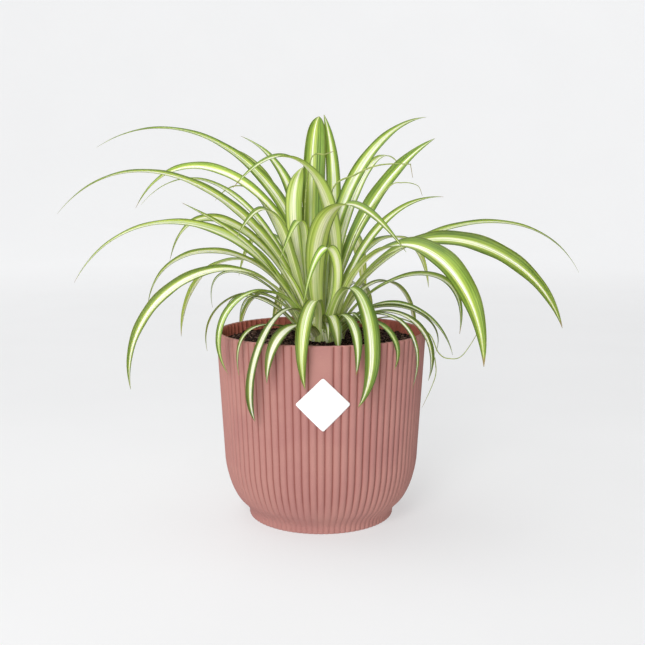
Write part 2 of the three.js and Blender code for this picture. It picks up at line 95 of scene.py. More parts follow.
# Name, facing, turn, seat, the places at a third, at two thirds and at the tip, width, roll,
# and a form where the leaf has one. Angles are in degrees.
# Facing is the compass angle of the leaf's plane: 0 right, 90 back, 180 left, 270 front.
# Seat is how high on the crown's head the leaf starts: 0 at its edge, 90 on its top.
# A place is [reach, height], or [reach, height, angle] where it leaves the plane.
LEAVES = [
    # Left
    ('leaf_left_high', 174, -7, 76, [38, 281], [115, 340], [212, 329], 13, -14,
     {'base': -50, 'broadest': 0.36, 'taper': 1.7}),
    ('leaf_left_longest', 184, -8, 62, [67, 266], [152, 306], [237, 269], 12, -20,
     {'base': -42, 'broadest': 0.36, 'taper': 1.7}),
    ('leaf_left_long', 190, 2, 45, [76, 247], [152, 260], [212, 213], 12, -18,
     {'base': -50, 'broadest': 0.34, 'taper': 1.6}),
    ('leaf_left_droop', 205, -1, 32, [81, 223], [148, 199], [172, 127], 13, -32, {'broadest': 0.6}),
    ('leaf_left_point', 210, 1, 51, [53, 226, 210], [89, 257], [131, 280], 10, -40, {'taper': 1.5}),
    ('leaf_left_arch', 173, -3, 38, [66, 228], [127, 230], [162, 184], 10, -28, {'broadest': 0.6}),
    ('leaf_left_hook', 167, -11, 50, [56, 240], [113, 264], [158, 223], 12, -35,
     {'broadest': 0.68, 'taper': 2.4}),
    ('leaf_left_back_hook', 161, -3, 68, [42, 268], [117, 311], [191, 273], 13, -32,
     {'broadest': 0.68, 'taper': 2.6}),
    ('leaf_left_back_arch', 146, 4, 56, [58, 253], [128, 299], [205, 276], 8, -15, {'taper': 1.3}),
    ('leaf_left_loop', 190, -2, 28, [48, 207], [84, 219], [96, 188], 5, -20),
    ('leaf_left_low', 182, 0, 18, [42, 188], [66, 197], [84, 188], 7, -20, {'broadest': 0.6}),
    # Front left
    ('leaf_front_left_high', 290, 0, 80, [12, 250, 336], [27, 312, 235], [93, 292, 220], 17, -10,
     {'heading': 216, 'base': 35, 'broadest': 0.55, 'taper': 1.8}),
    ('leaf_front_left_arch', 229, -11, 58, [39, 233, 226], [58, 272], [88, 252], 18, -15,
     {'broadest': 0.42, 'taper': 1.6}),
    ('leaf_front_left_bright', 231, 0, 68, [21, 228, 230], [38, 263, 243], [66, 233, 239], 10, 0,
     {'broadest': 0.56}),
    ('leaf_front_left_short', 238, -4, 42, [34, 200], [48, 218], [60, 232], 8, -10),
    ('leaf_front_left_over_rim', 225, -5, 30, [66, 206], [105, 187], [100, 138], 10, 0,
     {'broadest': 0.62}),
    ('leaf_front_left_small', 212, -2, 16, [44, 190], [68, 200], [80, 178], 6, 0),
    ('leaf_front_left_long', 243, -5, 22, [66, 190], [104, 156], [101, 104], 8, 0,
     {'broadest': 0.78, 'taper': 3}),
    ('leaf_front_left_short_hang', 256, -10, 12, [55, 178], [95, 173], [106, 138], 12, 0,
     {'broadest': 0.6}),
    ('leaf_front_left_low', 230, -1, 12, [50, 175], [90, 176], [102, 140], 6, 0),
    # Front
    ('leaf_front_hang', 266, -1, 29, [58, 199, 265], [98, 181, 262], [103, 134, 263], 12, 0,
     {'broadest': 0.62, 'taper': 2.2}),
    ('leaf_front_curl', 288, -34, 49, [40, 224, 291], [51, 242, 273], [54, 194, 254], 9, 0),
    ('leaf_front_arch', 266, 34, 58, [28, 241, 264], [62, 278, 287], [130, 243, 300], 20, 10,
     {'broadest': 0.38, 'taper': 1.8}),
    ('leaf_front_right_hang', 298, -2, 38, [60, 208, 297], [98, 172, 294], [101, 118, 287], 15, 0,
     {'broadest': 0.64, 'taper': 2.2}),
    ('leaf_front_right_low', 306, -1, 12, [58, 183], [97, 175], [103, 146], 7, 0,
     {'broadest': 0.6}),
    # Right
    ('leaf_right_droop', 316, -6, 44, [75, 242], [147, 231], [188, 160], 22, 20, {'broadest': 0.6}),
    ('leaf_right_big', 342, -3, 42, [77, 243], [156, 238], [210, 179], 19, 40,
     {'broadest': 0.62, 'taper': 1.8}),
    ('leaf_right_long', 359, 9, 54, [78, 242], [167, 261], [240, 215], 9, 25, {'taper': 1.3}),
    ('leaf_right_hook', 341, -9, 28, [60, 210], [110, 217], [130, 172], 9, 20, {'broadest': 0.62}),
    ('leaf_right_low', 358, -8, 18, [58, 191], [95, 180], [117, 147], 7, 20),
    ('leaf_right_low_back', 16, -9, 16, [58, 186], [97, 175], [105, 143], 7, 20),
    ('leaf_right_over_rim', 341, -14, 12, [62, 186], [98, 171], [107, 132], 9, 10,
     {'broadest': 0.66}),
    ('leaf_right_front_rim', 324, -8, 14, [60, 186], [98, 173], [104, 128], 7, 0),
    ('leaf_right_up', 25, -7, 57, [34, 226], [69, 268], [118, 284], 10, 30, {'taper': 1.5}),
    ('leaf_right_up_broad', 36, -6, 66, [34, 243], [74, 300], [123, 338], 17, 20,
     {'broadest': 0.56, 'taper': 2.2}),
    ('leaf_right_back_high', 42, 4, 76, [22, 265], [72, 330], [149, 361], 14, 20, {'taper': 1.7}),
    ('leaf_right_back_arch', 67, 0, 62, [60, 262], [132, 317], [215, 318], 10, 10),
    # Back
    ('leaf_back_tall', 108, 0, 82, [19, 240, 110], [29, 312, 102], [47, 357, 92], 20, 0,
     {'heading': 92, 'broadest': 0.5, 'taper': 4.4}),
    ('leaf_back_tall_right', 72, -2, 70, [23, 230, 66], [34, 297, 70], [50, 359, 87], 14, 0,
     {'heading': 76, 'taper': 3}),
    ('leaf_back_upright', 202, 0, 75, [22, 236, 200], [26, 280, 199], [16, 310, 184], 16, 0,
     {'heading': 250, 'broadest': 0.5, 'taper': 5}),
    ('leaf_back_left_high', 121, 5, 72, [35, 256], [70, 310], [135, 343], 13, 0, {'taper': 1.6}),
    ('leaf_back_left_up', 133, 3, 64, [42, 254], [76, 306], [130, 332], 9, 0),
    ('leaf_back_left_thin', 132, 8, 50, [48, 238], [86, 288], [134, 280], 7, 0),
    ('leaf_back_droop', 74, 2, 46, [76, 240], [150, 232], [196, 162], 16, 0),
    ('leaf_back_long', 90, 2, 54, [66, 248], [144, 272], [215, 236], 12, 0),
    ('leaf_back_broad', 97, 8, 40, [78, 230], [144, 218], [178, 150], 17, 0),
    ('leaf_back_arch', 119, 3, 42, [62, 232], [118, 246], [160, 203], 10, 0),
    ('leaf_back_right_arch', 48, 4, 50, [68, 236], [136, 240], [182, 190], 12, 0),
    ('leaf_back_left_droop', 144, 2, 38, [78, 224], [140, 208], [168, 146], 13, 0),
    ('leaf_back_right_low', 34, 2, 26, [64, 206], [101, 188], [109, 138], 9, 0),
    ('leaf_back_low', 60, 4, 26, [58, 202], [99, 188], [108, 134], 9, 0),
    ('leaf_back_hang', 84, 4, 26, [56, 206], [98, 192], [110, 136], 10, 0),
    ('leaf_back_left_hang', 112, 4, 24, [58, 202], [98, 186], [107, 132], 8, 0),
    ('leaf_back_left_low', 132, 4, 18, [60, 194], [99, 182], [108, 138], 8, 0),
    ('leaf_left_back_low', 162, 2, 20, [58, 197], [98, 184], [110, 142], 7, 0),
]

OFFSET_FACING = 287
OFFSET_SEAT = 22
OFFSET_LEAVES = [
    ('hanging', 287, -1, 22, [56, 187], [94, 180], [101, 144], 9, 0, {'broadest': 0.66}),
    ('short', 275, 7, 22, [40, 182], [57, 184], [69, 158], 11, 0, {'broadest': 0.7, 'taper': 3}),
    ('curled', 277, -2, 22, [40, 178], [56, 178], [66, 166], 7, 0),
    ('side', 299, 2, 22, [38, 181], [52, 187], [67, 179], 7, 0),
]


def smooth(t):
    return t * t * (3 - 2 * t)


def mix(a, b, t):
    return a + (b - a) * t


def polar(radius, degrees, z):
    angle = math.radians(degrees)
    return np.array([radius * math.cos(angle), radius * math.sin(angle), z], float)


def unit(v):
    return v / np.linalg.norm(v)


def clamp(t):
    return min(1.0, max(0.0, t))


def turns(count):
    """Even angles round a circle."""
    return np.arange(count) * TURN / count


def circle(radius, angles, z):
    """Points round the axis. Radius and height are one number each, or one for each angle."""
    heights = np.broadcast_to(z, angles.shape)
    return np.stack([radius * np.cos(angles), radius * np.sin(angles), heights], 1)


def srgb(red, green, blue):
    """A colour given as 0 to 255 on a screen, as the linear values that shaders use."""
    def linear(c):
        c /= 255
        return c / 12.92 if c <= 0.04045 else ((c + 0.055) / 1.055) ** 2.4
    return (linear(red), linear(green), linear(blue), 1.0)


# Meshes

class Parts:
    """Points, faces and point values that become one mesh."""

    def __init__(self):
        self.points, self.faces, self.values, self.count = [], [], {}, 0

    def add(self, points, faces, **values):
        points = np.asarray(points, float).reshape(-1, 3)
        self.points.append(points)
        self.faces += [tuple(i + self.count for i in face) for face in faces]
        for name, value in values.items():
            row = np.broadcast_to(np.asarray(value, float), (len(points),))
            self.values.setdefault(name, []).append((self.count, row))
        self.count += len(points)

    def make(self, name, material, slot, *nodes):
        mesh = bpy.data.meshes.new(name)
        mesh.from_pydata((np.concatenate(self.points) * MM).tolist(), [], self.faces)
        for key, rows in self.values.items():
            filled = np.zeros(self.count, np.float32)
            for start, row in rows:
                filled[start:start + len(row)] = row
            mesh.attributes.new(key, 'FLOAT', 'POINT').data.foreach_set('value', filled)
        mesh.shade_smooth()
        mesh.materials.append(material)
        mesh.validate()
        made = bpy.data.objects.new(name, mesh)
        bpy.context.scene.collection.objects.link(made)
        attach(made, 'root')
        if nodes:
            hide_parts(*nodes)
        return made


def grid_faces(rows, columns, closed=True):
    """Quads between rows of points, each row a ring if closed."""
    faces = []
    last = columns if closed else columns - 1
    for r in range(rows - 1):
        for c in range(last):
            a = r * columns + c
            b = r * columns + (c + 1) % columns
            faces.append((a, b, b + columns, a + columns))
    return faces


def sheet_faces(rows, columns, outer, inner):
    """Faces of a thin sheet: two open grids that start at points outer and inner, and its edge."""
    faces = []
    for face in grid_faces(rows, columns, closed=False):
        faces.append(tuple(i + outer for i in face))
        faces.append(tuple(i + inner for i in face[::-1]))
    border = list(range(columns)) + [r * columns + columns - 1 for r in range(1, rows)]
    border += [(rows - 1) * columns + c for c in range(columns - 2, -1, -1)]
    border += [r * columns for r in range(rows - 2, 0, -1)]
    for k, a in enumerate(border):
        b = border[(k + 1) % len(border)]
        faces.append((b + outer, a + outer, a + inner, b + inner))
    return faces


def turned(rings):
    """A closed surface from rings of equal counts, as points and faces with a cap at both ends."""
    columns = len(rings[0])
    points = np.concatenate(rings)
    faces = grid_faces(len(rings), columns)
    low, high = len(points), len(points) + 1
    top = (len(rings) - 1) * columns
    points = np.vstack([points, rings[0].mean(0), rings[-1].mean(0)])
    for c in range(columns):
        d = (c + 1) % columns
        faces.append((low, d, c))
        faces.append((high, top + c, top + d))
    return points, faces


def thin_tube(path, radii, sides):
    """A tube along points, closed at its ends."""
    rings = []
    turn = turns(sides)
    for k, point in enumerate(path):
        ahead = unit(path[min(k + 1, len(path) - 1)] - path[max(k - 1, 0)])
        guide = np.array([0, 0, 1.0]) if abs(ahead[2]) < 0.9 else np.array([1.0, 0, 0])
        one = unit(np.cross(ahead, guide))
        two = np.cross(ahead, one)
        rings.append(point + radii[k] * (np.outer(np.cos(turn), one) + np.outer(np.sin(turn), two)))
    return turned(rings)


# Materials

def plug(tree, value, socket):
    if isinstance(value, bpy.types.NodeSocket):
        tree.links.new(value, socket)
    else:
        socket.default_value = value


class Shader:
    """A material with short calls for the nodes that it needs."""

    def __init__(self, name):
        self.material = bpy.data.materials.new(name)
        self.material.use_nodes = True
        self.tree = self.material.node_tree
        self.surface = self.tree.nodes['Principled BSDF']

    def node(self, kind, inputs, **settings):
        made = self.tree.nodes.new(kind)
        for key, value in settings.items():
            setattr(made, key, value)
        for key, value in inputs.items():
            plug(self.tree, value, made.inputs[key])
        return made

    def value(self, name):
        """A point value that the mesh carries."""
        return self.node('ShaderNodeAttribute', {}, attribute_name=name).outputs['Fac']

    def math(self, operation, a, b=0.0):
        return self.node('ShaderNodeMath', {0: a, 1: b}, operation=operation).outputs[0]

    def plus(self, a, b):
        return self.math('ADD', a, b)

    def times(self, a, b):
        return self.math('MULTIPLY', a, b)

    def ramp(self, value, start, end, low=0.0, high=1.0):
        """Goes smoothly from low to high as value goes from start to end."""
        made = self.node(
            'ShaderNodeMapRange',
            {'Value': value, 'From Min': start, 'From Max': end, 'To Min': low, 'To Max': high},
            interpolation_type='SMOOTHSTEP',
        )
        return made.outputs['Result']

    def blend(self, share, first, second):
        """The first colour where share is 0, the second where it is 1."""
        made = self.node('ShaderNodeMix', {0: share, 6: first, 7: second}, data_type='RGBA')
        return made.outputs[2]

    def vector(self, x, y, z):
        return self.node('ShaderNodeCombineXYZ', {0: x, 1: y, 2: z}).outputs[0]

    def place(self):
        return self.node('ShaderNodeTexCoord', {}).outputs['Object']

    def noise(self, vector, scale, detail=3.0, roughness=0.55):
        made = self.node(
            'ShaderNodeTexNoise',
            {'Vector': vector, 'Scale': scale, 'Detail': detail, 'Roughness': roughness},
        )
        return made.outputs['Fac']

    def bump(self, height, distance, strength=1.0):
        made = self.node(
            'ShaderNodeBump', {'Height': height, 'Distance': distance, 'Strength': strength})
        self.set(Normal=made.outputs[0])

    def set(self, **inputs):
        for key, value in inputs.items():
            plug(self.tree, value, self.surface.inputs[key.replace('_', ' ')])


def pot_material():
    shader = Shader('pot_plastic')
    place = shader.place()
    cloud = shader.noise(place, scale=22.0, detail=4.0)
    grain = shader.noise(place, scale=900.0, detail=3.0, roughness=0.7)
    colour = shader.blend(shader.ramp(cloud, 0.35, 0.65), srgb(170, 120, 114), srgb(176, 127, 119))
    # Painted shade: the inside is drawn darker and redder than the same plastic outside
    colour = shader.blend(shader.value('inner'), colour, srgb(184, 106, 92))
    # Painted shade: the grooves between the ribs are darkened by how deep each point lies in them
    groove_shade = shader.ramp(shader.value('groove'), 0.45, 1.0, high=0.75)
    colour = shader.blend(groove_shade, colour, srgb(124, 62, 52))
    speck = shader.ramp(grain, 0.60, 0.72, high=0.14)
    colour = shader.blend(speck, colour, srgb(226, 176, 164))
    shader.set(
        Base_Color=colour,
        Roughness=shader.ramp(cloud, 0.3, 0.7, 0.62, 0.72),
        Specular_IOR_Level=0.12,
    )
    shader.bump(grain, distance=0.00012, strength=0.6)
    return shader.material


def paper_material():
    shader = Shader('label_paper')
    place = shader.place()
    fibre = shader.noise(place, scale=1400.0, detail=4.0, roughness=0.7)
    cloud = shader.noise(place, scale=60.0, detail=2.0)
    colour = shader.blend(shader.ramp(cloud, 0.3, 0.7), srgb(253, 253, 253), srgb(250, 250, 249))
    shader.set(Base_Color=colour, Roughness=shader.ramp(fibre, 0.3, 0.7, 0.42, 0.55))
    shader.bump(fibre, distance=0.00004, strength=0.5)
    return shader.material


def soil_material():
    shader = Shader('potting_soil')
    place = shader.place()
    clod = shader.noise(place, scale=150.0, detail=5.0, roughness=0.65)
    grit = shader.noise(place, scale=760.0, detail=4.0, roughness=0.75)
    colour = shader.blend(shader.ramp(clod, 0.38, 0.66), srgb(14, 7, 7), srgb(40, 25, 23))
    tone = shader.ramp(shader.value('tone'), 0.0, 1.0)
    colour = shader.blend(tone, colour, srgb(150, 122, 108))
    colour = shader.blend(shader.ramp(grit, 0.54, 0.60, high=0.85), colour, srgb(132, 100, 90))
    shader.set(
        Base_Color=colour,
        Roughness=shader.ramp(grit, 0.3, 0.7, 0.75, 0.95),
        Specular_IOR_Level=0.06,
    )
    shader.bump(grit, distance=0.0007, strength=0.9)
    return shader.material


def leaf_material():
    """Green with a cream stripe, by where a point lies across and along the leaf."""
    shader = Shader('striped_leaf')
    plus, times, ramp, blend = shader.plus, shader.times, shader.ramp, shader.blend
    across, along, reach = (shader.value(n) for n in ('across', 'along', 'reach'))
    seed, upper, tone = (shader.value(n) for n in ('seed', 'upper', 'tone'))
    stripe, lean, deep, dry = (shader.value(n) for n in ('stripe', 'lean', 'deep', 'dry'))
    shift = times(seed, 57.0)

    def streaks(wide, long, detail=3.0):
        """Noise drawn out along the leaf. Larger numbers give narrower and shorter streaks."""
        vector = shader.vector(times(across, wide), times(reach, long), shift)
        return shader.noise(vector, 1.0, detail)

    broad = streaks(3.6, 0.006, 2.0)
    fine = streaks(8.0, 0.004, 2.0)
    hair = streaks(20.0, 0.003, 1.0)
    patch = streaks(0.8, 0.03)

    # Even veins that run the length of the blade
    bent = plus(times(across, 30.0), times(broad, 5.0))
    vein = ramp(shader.math('SINE', bent), 0.1, 0.95)

    # How far a point is inside the cream stripe, which has uneven edges and narrows to the tip
    off_middle = shader.math('ABSOLUTE', plus(across, lean))
    wander = times(plus(fine, -0.5), 0.42)
    half = times(stripe, ramp(along, 0.55, 1.0, 1.0, 0.5))
    inside = shader.math('SUBTRACT', half, plus(off_middle, wander))

    green = blend(ramp(fine, 0.42, 0.58), srgb(86, 120, 28), srgb(132, 166, 56))
    green = blend(ramp(patch, 0.35, 0.7, high=0.5), green, srgb(158, 186, 70))
    green = blend(ramp(broad, 0.36, 0.41, 0.5, 0.0), green, srgb(170, 194, 84))
    green = blend(times(vein, 0.34), green, srgb(62, 88, 14))
    margin = ramp(shader.math('ABSOLUTE', across), 0.70, 0.96, high=0.85)
    green = blend(margin, green, srgb(46, 72, 8))
    # Painted shade: 'deep' darkens the green, the lime and the underside, most on low leaves that
    # hang under the others
    green = blend(times(deep, 0.72), green, srgb(38, 56, 10))
    lime = blend(ramp(hair, 0.4, 0.6), srgb(164, 188, 62), srgb(208, 218, 108))
    lime = blend(times(deep, 0.7), lime, srgb(104, 124, 56))
    cream = blend(ramp(hair, 0.38, 0.60), srgb(250, 249, 232), srgb(236, 240, 204))
    cream = blend(ramp(fine, 0.54, 0.62, high=0.6), cream, srgb(186, 204, 128))
    cream = blend(ramp(broad, 0.54, 0.58, high=0.65), cream, srgb(164, 190, 92))
    cream = blend(times(vein, 0.22), cream, srgb(190, 204, 130))
    face = blend(ramp(inside, -0.34, -0.02), green, lime)
    face = blend(ramp(inside, -0.04, 0.06), face, cream)

    # The underside is paler and greyer, and shows the stripe less
    under_green = blend(ramp(fine, 0.40, 0.60), srgb(150, 174, 62), srgb(196, 212, 106))
    under_green = blend(margin, under_green, srgb(84, 112, 36))
    under_green = blend(times(deep, 0.7), under_green, srgb(86, 106, 40))
    under_cream = blend(ramp(hair, 0.38, 0.62), srgb(246, 245, 214), srgb(226, 230, 172))
    under_cream = blend(ramp(broad, 0.54, 0.58, high=0.55), under_cream, srgb(168, 188, 100))
    under_cream = blend(times(vein, 0.45), under_cream, srgb(184, 196, 108))
    back = blend(ramp(inside, -0.12, 0.08), under_green, under_cream)
    colour = blend(upper, back, face)

    # Pale base, and a dry tip and spots on some leaves
    base_share = times(ramp(along, 0.03, 0.36, 0.85, 0.0), ramp(fine, 0.3, 0.55, 1.0, 0.4))
    base = blend(ramp(broad, 0.44, 0.56), srgb(242, 247, 178), srgb(170, 200, 82))
    colour = blend(base_share, colour, base)
    colour = blend(times(ramp(along, 0.965, 0.99), dry), colour, srgb(150, 126, 82))
    spot = times(ramp(streaks(5.0, 0.25), 0.70, 0.76, high=0.5), dry)
    colour = blend(spot, colour, srgb(158, 140, 84))

    # Each leaf has its own tone and hue
    varied = {
        'Hue': ramp(seed, 0.0, 1.0, 0.494, 0.507),
        'Saturation': 0.96,
        'Value': ramp(tone, 0.0, 1.0, 0.93, 1.16),
        'Color': colour,
    }
    shader.set(
        Base_Color=shader.node('ShaderNodeHueSaturation', varied).outputs[0],
        Roughness=ramp(fine, 0.3, 0.7, 0.36, 0.50),
        Specular_IOR_Level=0.32,
        Subsurface_Weight=0.35,
        Subsurface_Scale=0.0016,
        Subsurface_Radius=(1.0, 1.0, 0.35),
    )
    shader.bump(plus(hair, times(vein, 0.8)), distance=0.00020, strength=0.8)
    return shader.material


def strand_material():
    shader = Shader('dry_strand')
    fleck = shader.noise(shader.place(), scale=320.0, detail=3.0)
    tip = shader.ramp(shader.value('along'), 0.70, 1.0)
    colour = shader.blend(shader.ramp(fleck, 0.35, 0.65), srgb(166, 176, 96), srgb(132, 150, 72))
    colour = shader.blend(tip, colour, srgb(158, 142, 106))
    shader.set(Base_Color=colour, Roughness=shader.ramp(fleck, 0.3, 0.7, 0.55, 0.7))
    shader.bump(fleck, distance=0.0001, strength=0.6)
    return shader.material


# Camera, floor and lights

SENSOR = 36.0
LENS = 52.13
CAMERA_PLACE = (0.0, -0.826, 0.289)
CAMERA_DOWN = 7.99  # degrees
CAMERA_SHIFT = 0.0023


def add_camera():
    data = bpy.data.cameras.new('camera')
    data.sensor_width = SENSOR
    data.lens = LENS
    data.shift_x = CAMERA_SHIFT
    data.clip_start = 0.02
    camera = bpy.data.objects.new('camera', data)
    camera.location = CAMERA_PLACE
    camera.rotation_euler = (math.radians(90 - CAMERA_DOWN), 0, 0)
    bpy.context.scene.collection.objects.link(camera)
    bpy.context.scene.camera = camera


FLOOR_GLOW = 0.52
WALL_GLOW = 0.685
FLOOR_ALBEDO = 0.36
FLOOR_DROP = 0.0002  # keeps the floor clear of the pot's flat foot
FLOOR_FLAT = 3.0  # radius of the flat part
FLOOR_BEND = 1.5  # radius of the bend up to the wall
WALL_TOP = 4.5
FLOOR_SIDES = 96
BEND_STEPS = 12

# Name, place, target, size and power of each light
LIGHTS = [
    ('key', (-0.55, -1.85, 1.45), (0, 0, 0.2), (0.7, 0.7), 23.0),
    ('front', (-0.25, -2.0, 0.55), (0, 0, 0.18), (0.9, 0.7), 16.0),
    ('top', (-0.4, 0.3, 2.4), (0, 0, 0.1), (1.8, 1.8), 24.0),
]
ROOM_COLOUR = (0.97, 0.98, 1.0, 1.0)
# The room is brighter on the left than on the right
ROOM_FADE = {'From Min': -0.7, 'From Max': 0.5, 'To Min': 0.34, 'To Max': 0.02}


def floor_material():
    shader = Shader('studio_floor')
    place = shader.place()
    x, y, _ = shader.node('ShaderNodeSeparateXYZ', {0: place}).outputs
    faint = shader.ramp(shader.noise(place, scale=3.0, detail=2.0), 0.3, 0.7)
    darker, paler = (tuple([FLOOR_ALBEDO * k] * 3) + (1.0,) for k in (0.98, 1.02))
    # The glow fades behind the camera and far to the right, and grows from the floor to the wall
    behind = shader.ramp(y, -2.8, -0.8, 0.36, 1.0)
    beside = shader.ramp(x, 1.6, 3.0, 1.0, 0.10)
    far = shader.node('ShaderNodeVectorMath', {0: place}, operation='LENGTH').outputs['Value']
    outward = shader.ramp(far, 0.4, 3.4, FLOOR_GLOW, WALL_GLOW)
    shader.set(
        Base_Color=shader.blend(faint, darker, paler),
        Roughness=0.9,
        Specular_IOR_Level=0.1,
        Emission_Color=(0.985, 0.99, 1.0, 1.0),
        Emission_Strength=shader.times(shader.times(behind, beside), outward),
    )
    return shader.material


def add_floor():
    """A pale floor that turns up into a wall all round. Both glow, as a lit studio sweep does."""
    profile = [(radius, 0.0) for radius in (0.05, 0.3, 0.8, 1.6, FLOOR_FLAT)]
    for k in range(1, BEND_STEPS + 1):
        angle = math.radians(90 * k / BEND_STEPS)
        radius = FLOOR_FLAT + FLOOR_BEND * math.sin(angle)
        profile.append((radius, FLOOR_BEND * (1 - math.cos(angle))))
    profile.append((FLOOR_FLAT + FLOOR_BEND, WALL_TOP))
    angles = turns(FLOOR_SIDES)
    rings = [circle(radius, angles, z) for radius, z in profile]
    middle = len(rings) * FLOOR_SIDES
    points = np.vstack([np.concatenate(rings), [[0, 0, 0]]])
    faces = grid_faces(len(rings), FLOOR_SIDES)
    faces += [(middle, c, (c + 1) % FLOOR_SIDES) for c in range(FLOOR_SIDES)]
    mesh = bpy.data.meshes.new('floor')
    mesh.from_pydata(points.tolist(), [], faces)
    mesh.shade_smooth()
    mesh.materials.append(floor_material())
    floor = bpy.data.objects.new('floor', mesh)
    floor.location.z = -FLOOR_DROP
    bpy.context.scene.collection.objects.link(floor)


def add_light(name, place, target, size, power):
    data = bpy.data.lights.new(name, 'AREA')
    data.shape = 'RECTANGLE'
    data.size, data.size_y = size
    data.energy = power
    light = bpy.data.objects.new(name, data)
    light.location = place
    light.rotation_euler = (Vector(target) - Vector(place)).to_track_quat('-Z', 'Y').to_euler()
    bpy.context.scene.collection.objects.link(light)


def add_room():
    world = bpy.data.worlds.new('studio')
    world.use_nodes = True
    nodes, links = world.node_tree.nodes, world.node_tree.links
    back = nodes['Background']
    back.inputs['Color'].default_value = ROOM_COLOUR
    split = nodes.new('ShaderNodeSeparateXYZ')
    fade = nodes.new('ShaderNodeMapRange')
    for name, value in ROOM_FADE.items():
        fade.inputs[name].default_value = value
    links.new(nodes.new('ShaderNodeTexCoord').outputs['Generated'], split.inputs[0])
    links.new(split.outputs[0], fade.inputs['Value'])
    links.new(fade.outputs['Result'], back.inputs['Strength'])
    bpy.context.scene.world = world
    view = bpy.context.scene.view_settings
    view.view_transform = 'Standard'
    view.look = 'None'
    view.exposure = 0.0


# Pot

RIB_POINTS = 14
RIB_POWER = 2.5  # makes the ribs broad and the grooves between them narrow
RIB_HOLLOW = 1.9
FOOT_RIB_HOLLOW = 1.1
RIB_GROWTH = 24  # height over which the grooves deepen above the foot
FOOT_EDGE = 1.2  # width of the foot's rounded edge
WAIST = 5.0  # height over which the shoulder rounds into the foot
WAIST_BOTTOM = 1.5
WAIST_FADE = (20, 40)  # heights between which the rounding ends
WAIST_SAMPLES = 13
POT_ROW_HEIGHTS = [
    1.0, 2.5, 4.5, 6.5, 8.0, 9.2, 10.5, 11.6, 12.8, 14.2, 16, 18.5, 21.5, 25, 30, 35, 41, 47,
    53, 60, 68, 78, 88, 98, 108, 112, 116, 120, 124, 130, 140, 150, 158, 163, 165.2,
]
LIP_ROUND = 1.5
LIP_STEPS = 5
LIP_RIB_DEPTH = 0.9
INNER_LIP_ROUND = 1.2
INNER_LIP_STEPS = 4
INNER_COLOUR_ROW = 3  # the row of the inner edge of the lip where the inside's painted shade starts
INNER_ROW_HEIGHTS = [163, 158, 150, 140, 120, 90, 60, 45, 30, 22, 16, 12, 9.5]
INNER_BEND = 16  # below this height the inside narrows to the floor
INNER_RIB_DEPTH = 1.3


def wall_radius(z):
    """Radius of the pot over the crowns of its ribs, without the foot."""
    if z >= SHOULDER_TOP:
        return mix(WALL_FOOT_RADIUS, RIM_RADIUS, (z - SHOULDER_TOP) / (POT_HEIGHT - SHOULDER_TOP))
    drop = (SHOULDER_TOP - z) / (SHOULDER_TOP - FOOT_HEIGHT)
    bulge = (1 - min(1, drop) ** SHOULDER_POWER) ** (1 / SHOULDER_POWER)
    return FOOT_TOP_RADIUS + (WALL_FOOT_RADIUS - FOOT_TOP_RADIUS) * bulge


def foot_radius(z):
    """The outer radius with a soft waist between the shoulder and the foot."""
    def sharp(h):
        if h <= FOOT_HEIGHT:
            return mix(FOOT_RADIUS, FOOT_TOP_RADIUS, max(0.0, h) / FOOT_HEIGHT)
        return wall_radius(h)
    reach = min(WAIST, max(0.0, z - WAIST_BOTTOM))
    offsets = np.linspace(-reach, reach, WAIST_SAMPLES)
    soft = sum(sharp(z + offset) for offset in offsets) / len(offsets)
    low, high = WAIST_FADE
    return mix(soft, wall_radius(z), smooth(clamp((z - low) / (high - low))))


def inner_radius(z):
    if z >= INNER_BEND:
        return wall_radius(z) - WALL_THICKNESS
    share = (z - FLOOR_TOP) / (INNER_BEND - FLOOR_TOP)
    return mix(FLOOR_RADIUS, inner_radius(INNER_BEND), share)


def rib_angles():
    """Angles round the pot, how deep in a groove each is (0 to 1) and which lie in the panel."""
    angles, depths, panel = [], [], []
    pitch = TURN / RIB_COUNT
    for rib in range(RIB_COUNT):
        for k in range(RIB_POINTS):
            share = k / RIB_POINTS - 0.5
            angles.append((rib + share) * pitch - TURN / 4)
            depths.append(abs(2 * share) ** RIB_POWER)
            groove = rib if share < 0 else rib + 1
            panel.append(groove % RIB_COUNT in (0, 1))
    return np.array(angles), np.array(depths), np.array(panel)


